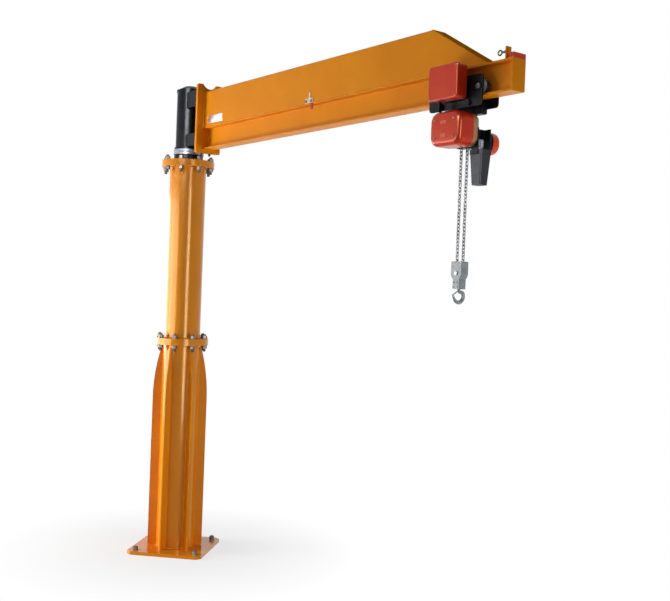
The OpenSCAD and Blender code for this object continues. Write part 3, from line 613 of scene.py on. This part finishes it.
def weld_run(name, start, end, size, material, body):
    """A weld bead between two points, its ripples laid one after another."""
    start, end = Vector(start), Vector(end)
    step = size * BEAD_STEP
    deselect()
    bpy.ops.mesh.primitive_ico_sphere_add(subdivisions=1, radius=1)
    bpy.context.active_object.scale = (size, size, size * BEAD_FLAT)
    bead = settle(name)
    ripples = max(2, round((end - start).length / step))
    apply_modifier(bead, "ARRAY", count=ripples, use_relative_offset=False, use_constant_offset=True,
                   constant_offset_displace=(0, 0, step))
    turn = (end - start).to_track_quat("Z", "Y").to_matrix().to_4x4()
    bead.data.transform(Matrix.Translation(start) @ turn)
    smooth(bead, 80)
    finish_piece(bead, material, body)


def column_weld(name, start, end, size):
    """A straight bead on the column."""
    weld_run(name, start, end, size, WELD, "column")


def arm_weld(name, start, end, size):
    """A straight bead on the arm."""
    weld_run(name, start, end, size, WELD, "jib")


def ring_weld(name, radius, z, size):
    """A weld bead round the column."""
    deselect()
    bpy.ops.mesh.primitive_ico_sphere_add(subdivisions=1, radius=1, location=(radius, 0, z))
    bpy.context.active_object.scale = (size, size * BEAD_FLAT, size)
    bead = settle(name)
    ripples = round(2 * math.pi * radius / (size * BEAD_STEP))
    edit_faces(bead, lambda centre, normal: True)
    bpy.ops.mesh.spin(steps=ripples, angle=2 * math.pi, center=(0, 0, 0), axis=(0, 0, 1), dupli=True)
    leave_edit()
    smooth(bead, 80)
    finish_piece(bead, WELD, "column")


# ---------- Column ----------

def flange_studs(prefix, low_node, high_node):
    """One stud in each hole of a pair of flanges."""
    foot_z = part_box(low_node)[0].z
    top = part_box(high_node)[1]
    circle_r = top.x - FLANGE_HOLE_EDGE
    first = stud(prefix, STUD, top.z - foot_z, STUD_TOP_THREAD, STUD_FOOT_THREAD)
    for number in range(FLANGE_HOLES):
        angle = math.radians(number * 360 / FLANGE_HOLES)
        place = Matrix.Translation((circle_r * math.cos(angle), circle_r * math.sin(angle), top.z))
        turned = place @ Matrix.Rotation(angle + STUD_TURN * number, 4, "Z")
        finish_piece(copy_to(first, f"{prefix}_{number + 1}", turned), ZINC_BOLT, "column")
    bpy.data.objects.remove(first)


def anchor_nuts():
    """Nut and thread end of a foundation anchor near each corner of the base plate."""
    first = nut_stack("anchor", STUD, ANCHOR_THREAD)
    for number in range(ANCHORS):
        round_axis = Matrix.Rotation(math.radians(number * 360 / ANCHORS), 4, "Z")
        place = round_axis @ Matrix.Translation((ANCHOR_CIRCLE_R, 0, base_top))
        turned = place @ Matrix.Rotation(ANCHOR_TURN * number, 4, "Z")
        finish_piece(copy_to(first, f"anchor_stud_{number + 1}", turned), ZINC_BOLT, "column")
    bpy.data.objects.remove(first)


def ring_welds():
    """Beads where the tubes meet the base plate and the flanges."""
    ring_r = tube_r + RING_BEAD_OFF
    ring_weld("foot_weld", ring_r, base_top + FOOT_BEAD_RISE, FOOT_BEAD)
    ring_weld("lower_flange_weld", ring_r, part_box("lower_joint_flange")[0].z - RING_BEAD_OFF, FLANGE_BEAD)
    ring_weld("upper_flange_weld", ring_r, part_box("upper_joint_flange")[1].z + RING_BEAD_OFF, FLANGE_BEAD)
    ring_weld("head_flange_weld", ring_r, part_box("head_flange")[0].z - RING_BEAD_OFF, FLANGE_BEAD)


def rib_welds():
    """Beads up both sides of each rib's root and along its foot."""
    rib_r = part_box("column_ribs")[1].x
    rib_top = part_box("column_ribs")[1].z
    root_x = math.sqrt(tube_r ** 2 - RIB_HALF_T ** 2)
    for rib in range(RIBS):
        turned = Matrix.Rotation(math.radians(rib * 360 / RIBS), 4, "Z")
        for side, sign in SIDES:
            edge_y = sign * RIB_HALF_T
            column_weld(f"rib_weld_{rib + 1}_{side}", turned @ Vector((root_x, edge_y, base_top)),
                        turned @ Vector((root_x, edge_y, rib_top)), RIB_BEAD)
            column_weld(f"rib_foot_weld_{rib + 1}_{side}", turned @ Vector((tube_r, edge_y, base_top)),
                        turned @ Vector((rib_r, edge_y, base_top)), RIB_BEAD)


flange_studs("joint_stud", "lower_joint_flange", "upper_joint_flange")
flange_studs("head_stud", "head_flange", "head_plate")
anchor_nuts()
ring_welds()
rib_welds()


# ---------- Arm ----------

def box_welds():
    """Beads that hold the box to the end plate and to the beam."""
    for side, sign in SIDES:
        side_y = sign * box_high.y
        arm_weld(f"box_side_weld_{side}", (plate_high.x, side_y, beam_high.z),
                 (plate_high.x, side_y, box_high.z - BOX_BEAD_TOP_GAP), PLATE_BEAD)
        foot_y = sign * (box_high.y + BOX_BEAD_OFF)
        arm_weld(f"box_foot_weld_{side}", (plate_high.x, foot_y, beam_high.z),
                 (box_high.x - BOX_BEAD_TIP_GAP, foot_y, beam_high.z), BOX_BEAD)


def tip_welds():
    """Beads along both sides of the pieces that stand on the beam's tip."""
    for node in ("tip_bar", "eye_bracket"):
        low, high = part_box(node)
        for side, y in ((1, low.y), (3, high.y)):
            arm_weld(f"{node}_weld_{side}", (low.x, y, low.z), (high.x, y, low.z), TIP_BEAD)


def beam_weld():
    """Bead under the beam's foot, across the end plate."""
    arm_weld("beam_foot_weld", (plate_high.x, beam_low.y, beam_low.z),
             (plate_high.x, beam_high.y, beam_low.z), PLATE_BEAD)


def bracket_welds():
    """Beads where the sleeve's brackets meet the end plate."""
    for node in ("upper_bracket", "lower_bracket"):
        low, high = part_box(node)
        for side, sign in SIDES:
            edge_y = sign * high.y
            weld_run(f"{node}_weld_{side}", (plate_low.x, edge_y, low.z), (plate_low.x, edge_y, high.z),
                     PLATE_BEAD, BLACK_WELD, "jib")


def setting_nuts():
    """Two small nuts under the end plate."""
    first = nut_stack("setting_nut", SETTING_NUT, SETTING_NUT_THREAD)
    for number, y in enumerate(SETTING_NUT_Y):
        seat = Matrix.Translation(((plate_low.x + plate_high.x) / 2, y, plate_low.z))
        turned = seat @ Matrix.Rotation(math.pi, 4, "X")
        finish_piece(copy_to(first, f"setting_nut_{number + 1}", turned), BLACK_OXIDE, "jib")
    bpy.data.objects.remove(first)


def bare_plate():
    """Bare plate on the side of the box, held by a rivet in each corner."""
    low = Vector((plate_high.x + BARE_PLATE_FROM_END, box_low.y - BARE_PLATE_T,
                  beam_high.z + BARE_PLATE_RISE))
    high = low + Vector((BARE_PLATE_L, BARE_PLATE_T, BARE_PLATE_H))
    sheet = round_edges(block("sheet", low, high), BARE_PLATE_EDGE, 2)
    heads = []
    for place in corners(low, high, RIVET_EDGE, low.y):
        deselect()
        bpy.ops.mesh.primitive_uv_sphere_add(segments=16, ring_count=8, radius=RIVET_R, location=place)
        bpy.context.active_object.scale = (1, RIVET_DOME, 1)
        heads.append(settle("rivet"))
    finish_piece(smooth(join("bare_plate", [sheet] + heads), 40), BARE_ALUMINIUM, "jib")


box_welds()
tip_welds()
beam_weld()
bracket_welds()
setting_nuts()
bare_plate()


# ---------- Hoist ----------

def rounded_shell(name, node, corner, outer_side):
    """Closed red housing with round corners along Y and a soft edge on its outer end, for a CAD node."""
    low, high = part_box(node)
    shell = pick(block(name, low, high))

    # The four edges along Y
    bpy.ops.object.mode_set(mode="EDIT")
    bpy.ops.mesh.select_mode(type="EDGE")
    bpy.ops.mesh.select_all(action="DESELECT")
    mesh = bmesh.from_edit_mesh(shell.data)
    for line in mesh.edges:
        a, b = line.verts
        line.select_set(abs(a.co.y - b.co.y) > 0.5 * (high.y - low.y))
    bmesh.update_edit_mesh(shell.data)
    bpy.ops.mesh.bevel(offset=corner, segments=10, affect="EDGES")
    leave_edit()

    # The outer end
    outer_y = low.y if outer_side < 0 else high.y
    edit_faces(shell, lambda centre, normal: abs(centre.y - outer_y) < 0.1 * MM)
    bpy.ops.mesh.bevel(offset=HOUSING_EDGE, segments=8, affect="EDGES")
    leave_edit()
    smooth(shell, 40)
    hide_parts(node)
    finish_piece(shell, FINISHES["red_paint"], "trolley")


def chain_link():
    """One welded link, standing on its end round the origin."""
    deselect()
    bpy.ops.mesh.primitive_torus_add(major_segments=16, minor_segments=8,
                                     major_radius=(LINK_W - CHAIN_WIRE) / 2, minor_radius=CHAIN_WIRE / 2,
                                     rotation=(math.pi / 2, 0, 0))
    link = settle("link")

    # The ring's halves are parted along Z, which leaves straight sides between them
    straight = (LINK_L - LINK_W) / 2
    for side in (-1, 1):
        for vertex in link.data.vertices:
            vertex.co.z += side * straight * (vertex.co.z * side > NEAR_ZERO)
    return link


def load_chain():
    """Two falls of links, each turned a quarter against the next."""
    low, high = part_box("chain_falls")
    middle = (low + high) / 2
    half_gap = (high.x - low.x - LINK_W) / 2
    first_z = high.z - LINK_L / 2
    link = chain_link()
    links = []
    for side in (-1, 1):
        for number in range(FALL_LINKS):
            turn = Matrix.Rotation(math.radians(90 * (number % 2)), 4, "Z")
            place = Matrix.Translation((middle.x + side * half_gap, middle.y, first_z - number * LINK_STEP))
            links.append(copy_to(link, "link_copy", place @ turn))
    bpy.data.objects.remove(link)
    falls = smooth(join("load_chain", links), 60)
    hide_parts("chain_falls")
    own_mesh(falls)
    finish_piece(falls, FINISHES["chain_steel"], "trolley")


def blank_labels(low, high):
    """Two blank labels on the motor cover's outer face."""
    x = low.x + LABEL_PLACE * (high.x - low.x)
    for number, (share, width, height) in enumerate(LABELS):
        z = low.z + share * (high.z - low.z)
        label = block(f"blank_label_{number + 1}", (x - width / 2, low.y - LABEL_T, z - height / 2),
                      (x + width / 2, low.y, z + height / 2))
        finish_piece(round_edges(label, LABEL_EDGE, 1), BLANK_LABEL, "trolley")


def hoist_screws():
    """Screws of the control box, the motor cover, the end cap and the hook block, and the cover's labels."""
    small_screw = cap_screw("small_screw", SMALL_SCREW)
    screw = cap_screw("screw", COVER_SCREW)
    near, far = (0, -1, 0), (0, 1, 0)

    low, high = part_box("control_box")
    places = corners(low, high, LID_SCREW_EDGE, low.y)
    set_screws("lid_screw", small_screw, places, near, "trolley")

    low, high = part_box("motor_cover")
    places = corners(low, high, COVER_SCREW_EDGE, low.y)
    set_screws("cover_screw", screw, places, near, "trolley")
    blank_labels(low, high)

    low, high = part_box("end_cap")
    places = corners(low, high, CAP_SCREW_EDGE, high.y)
    set_screws("cap_screw", small_screw, places, far, "trolley")

    low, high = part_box("block_housing")
    middle_x = (low.x + high.x) / 2
    columns = (middle_x - CHEEK_SCREW_X, middle_x + CHEEK_SCREW_X)
    for side, y, facing in ((1, low.y, near), (3, high.y, far)):
        places = [(x, y, low.z + z) for x in columns for z in CHEEK_SCREW_Z]
        set_screws(f"cheek_screw_{side}", small_screw, places, facing, "hook_block")
    for pattern in (small_screw, screw):
        bpy.data.objects.remove(pattern)


def trip_plate_bolts():
    """Two bolts that hold the trip plate to the box's foot."""
    bolt = hex_bolt("hex_bolt")
    low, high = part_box("trip_plate")
    bolt_z = beam_high.z + TRIP_BOLT_EDGE
    places = [(x, low.y, bolt_z) for x in (low.x + TRIP_BOLT_EDGE, high.x - TRIP_BOLT_EDGE)]
    set_screws("trip_plate_bolt", bolt, places, (0, -1, 0), "jib")
    bpy.data.objects.remove(bolt)


rounded_shell("motor_cover_shell", "motor_cover", COVER_CORNER, outer_side=-1)
rounded_shell("end_cap_shell", "end_cap", CAP_CORNER, outer_side=1)
load_chain()
hoist_screws()
trip_plate_bolts()


# ---------- Camera, light and floor ----------

# The camera's roll is in degrees, its lens and sensor in millimetres
CAMERA_PLACE = (6.687, -3.507, 2.026)
CAMERA_LOOK = (-0.8037, 0.5951, -0.0111)
CAMERA_LEVEL = (0.5951, 0.8037, 0.0)
CAMERA_ROLL = 2.202
CAMERA_LENS = 52.34
CAMERA_SENSOR = 36.0
CAMERA_REACH = 60.0

# Strength of the sky's light, and its cool tone
AMBIENT = 0.2
AMBIENT_TONE = (0.93, 0.96, 1.0, 1)
WHITE = (1, 1, 1, 1)

# The floor, and its shadow's least share of white, from the foot out to where the shadow ends
FLOOR_R = 30.0
FLOOR_ROUGHNESS = 0.9
FLOOR_TONES = ((0.88, 0.88, 0.88), (0.9, 0.9, 0.9))
SHADOW_R = 0.4
SHADOW_END_R = 1.4
SHADOW_WHITE = 0.72


def light_panel(name, place, aim, width, height, power, lights=True, shines=True):
    """A soft lamp, its size in metres and power in watts, that may light the object or show in its gloss."""
    lamp = bpy.data.lights.new(name, "AREA")
    lamp.shape = "RECTANGLE"
    lamp.size = width
    lamp.size_y = height
    lamp.energy = power
    panel = bpy.data.objects.new(name, lamp)
    panel.location = place
    panel.rotation_euler = (Vector(place) - Vector(aim)).to_track_quat("Z", "Y").to_euler()
    panel.visible_camera = False
    panel.visible_diffuse = lights
    panel.visible_glossy = shines
    bpy.context.collection.objects.link(panel)


def set_camera():
    """The camera, rolled slightly about its line of sight."""
    forward = Vector(CAMERA_LOOK).normalized()
    level = Vector(CAMERA_LEVEL).normalized()
    upright = level.cross(forward)
    roll = math.radians(CAMERA_ROLL)
    right = math.cos(roll) * level + math.sin(roll) * upright
    up = math.cos(roll) * upright - math.sin(roll) * level
    camera = bpy.data.objects.new("camera", bpy.data.cameras.new("camera"))
    camera.matrix_world = Matrix((right, up, -forward)).transposed().to_4x4()
    camera.location = CAMERA_PLACE
    camera.data.lens = CAMERA_LENS
    camera.data.sensor_width = CAMERA_SENSOR
    camera.data.clip_end = CAMERA_REACH
    bpy.context.collection.objects.link(camera)
    bpy.context.scene.camera = camera


def background_ray(nodes, links):
    """1 for the rays that see the background: from the camera, off gloss and through glass."""
    path = nodes.new("ShaderNodeLightPath")
    seen = path.outputs["Is Camera Ray"]
    for ray in ("Is Glossy Ray", "Is Transmission Ray"):
        either = nodes.new("ShaderNodeMath")
        either.operation = "MAXIMUM"
        links.new(seen, either.inputs[0])
        links.new(path.outputs[ray], either.inputs[1])
        seen = either.outputs[0]
    return seen


def set_world():
    """White where it is seen, and a dim cool sky where it lights."""
    world = bpy.data.worlds.new("studio")
    world.use_nodes = True
    nodes, links = world.node_tree.nodes, world.node_tree.links
    shown = nodes["Background"]
    shown.inputs["Color"].default_value = WHITE
    shown.inputs["Strength"].default_value = 1.0
    ambient = nodes.new("ShaderNodeBackground")
    ambient.inputs["Color"].default_value = AMBIENT_TONE
    ambient.inputs["Strength"].default_value = AMBIENT
    mix = nodes.new("ShaderNodeMixShader")
    links.new(background_ray(nodes, links), mix.inputs["Fac"])
    links.new(ambient.outputs[0], mix.inputs[1])
    links.new(shown.outputs[0], mix.inputs[2])
    links.new(mix.outputs[0], nodes["World Output"].inputs["Surface"])
    bpy.context.scene.world = world


def floor_finish():
    """Matt and pale near the foot, so that it shows a shadow, and plain white further out."""
    look = Finish("pale_floor", specular=0.0)
    look.surface.inputs["Roughness"].default_value = FLOOR_ROUGHNESS
    look.colour(look.blend(look.noise(1.5), *FLOOR_TONES))
    glow = look.nodes.new("ShaderNodeEmission")
    glow.inputs["Color"].default_value = WHITE
    distance = look.nodes.new("ShaderNodeVectorMath")
    distance.operation = "LENGTH"
    look.links.new(look.place, distance.inputs[0])
    fade = look.remap(distance.outputs["Value"], SHADOW_R, SHADOW_END_R, SHADOW_WHITE, 1.0)
    shown = look.nodes.new("ShaderNodeMath")
    shown.operation = "MULTIPLY"
    look.links.new(fade, shown.inputs[0])
    look.links.new(background_ray(look.nodes, look.links), shown.inputs[1])
    mix = look.nodes.new("ShaderNodeMixShader")
    look.links.new(shown.outputs[0], mix.inputs["Fac"])
    look.links.new(look.surface.outputs[0], mix.inputs[1])
    look.links.new(glow.outputs[0], mix.inputs[2])
    look.links.new(mix.outputs[0], look.nodes["Material Output"].inputs["Surface"])
    return look.material


def set_floor():
    """Floor that keeps a faint shadow near the foot and runs out into the white background."""
    deselect()
    bpy.ops.mesh.primitive_circle_add(vertices=96, radius=FLOOR_R, fill_type="NGON", location=(0, 0, 0))
    floor = settle("floor")
    floor.data.materials.append(floor_finish())


def set_lamps():
    """Three lamps that light the object, and four panels that only show in its gloss."""
    light_panel("column_light", (-2.0, -3.6, 0.9), (0.0, 0.0, 0.9), 1.2, 1.8, 175, shines=False)
    light_panel("arm_light", (-3.6, -8.0, 4.4), (1.6, 0.0, 3.0), 3.0, 2.4, 205, shines=False)
    light_panel("right_light", (5.2, 2.6, 1.0), (0.2, 0.0, 1.0), 1.4, 2.0, 90, shines=False)
    light_panel("left_gloss", (-1.3, -5.86, 1.7), (0.0, 0.0, 1.7), 6.2, 3.0, 540, lights=False)
    light_panel("rear_gloss", (-5.6, -2.05, 1.7), (0.0, 0.0, 1.7), 6.4, 3.0, 280, lights=False)
    light_panel("front_gloss", (6.5, -0.9, 1.9), (0.0, 0.0, 1.9), 1.8, 3.6, 300, lights=False)
    light_panel("high_gloss", (3.4, -4.6, 4.5), (0.0, 0.0, 3.3), 2.6, 0.9, 640, lights=False)


set_camera()
set_world()
set_floor()
set_lamps()
bpy.context.scene.view_settings.view_transform = "Standard"

deselect()
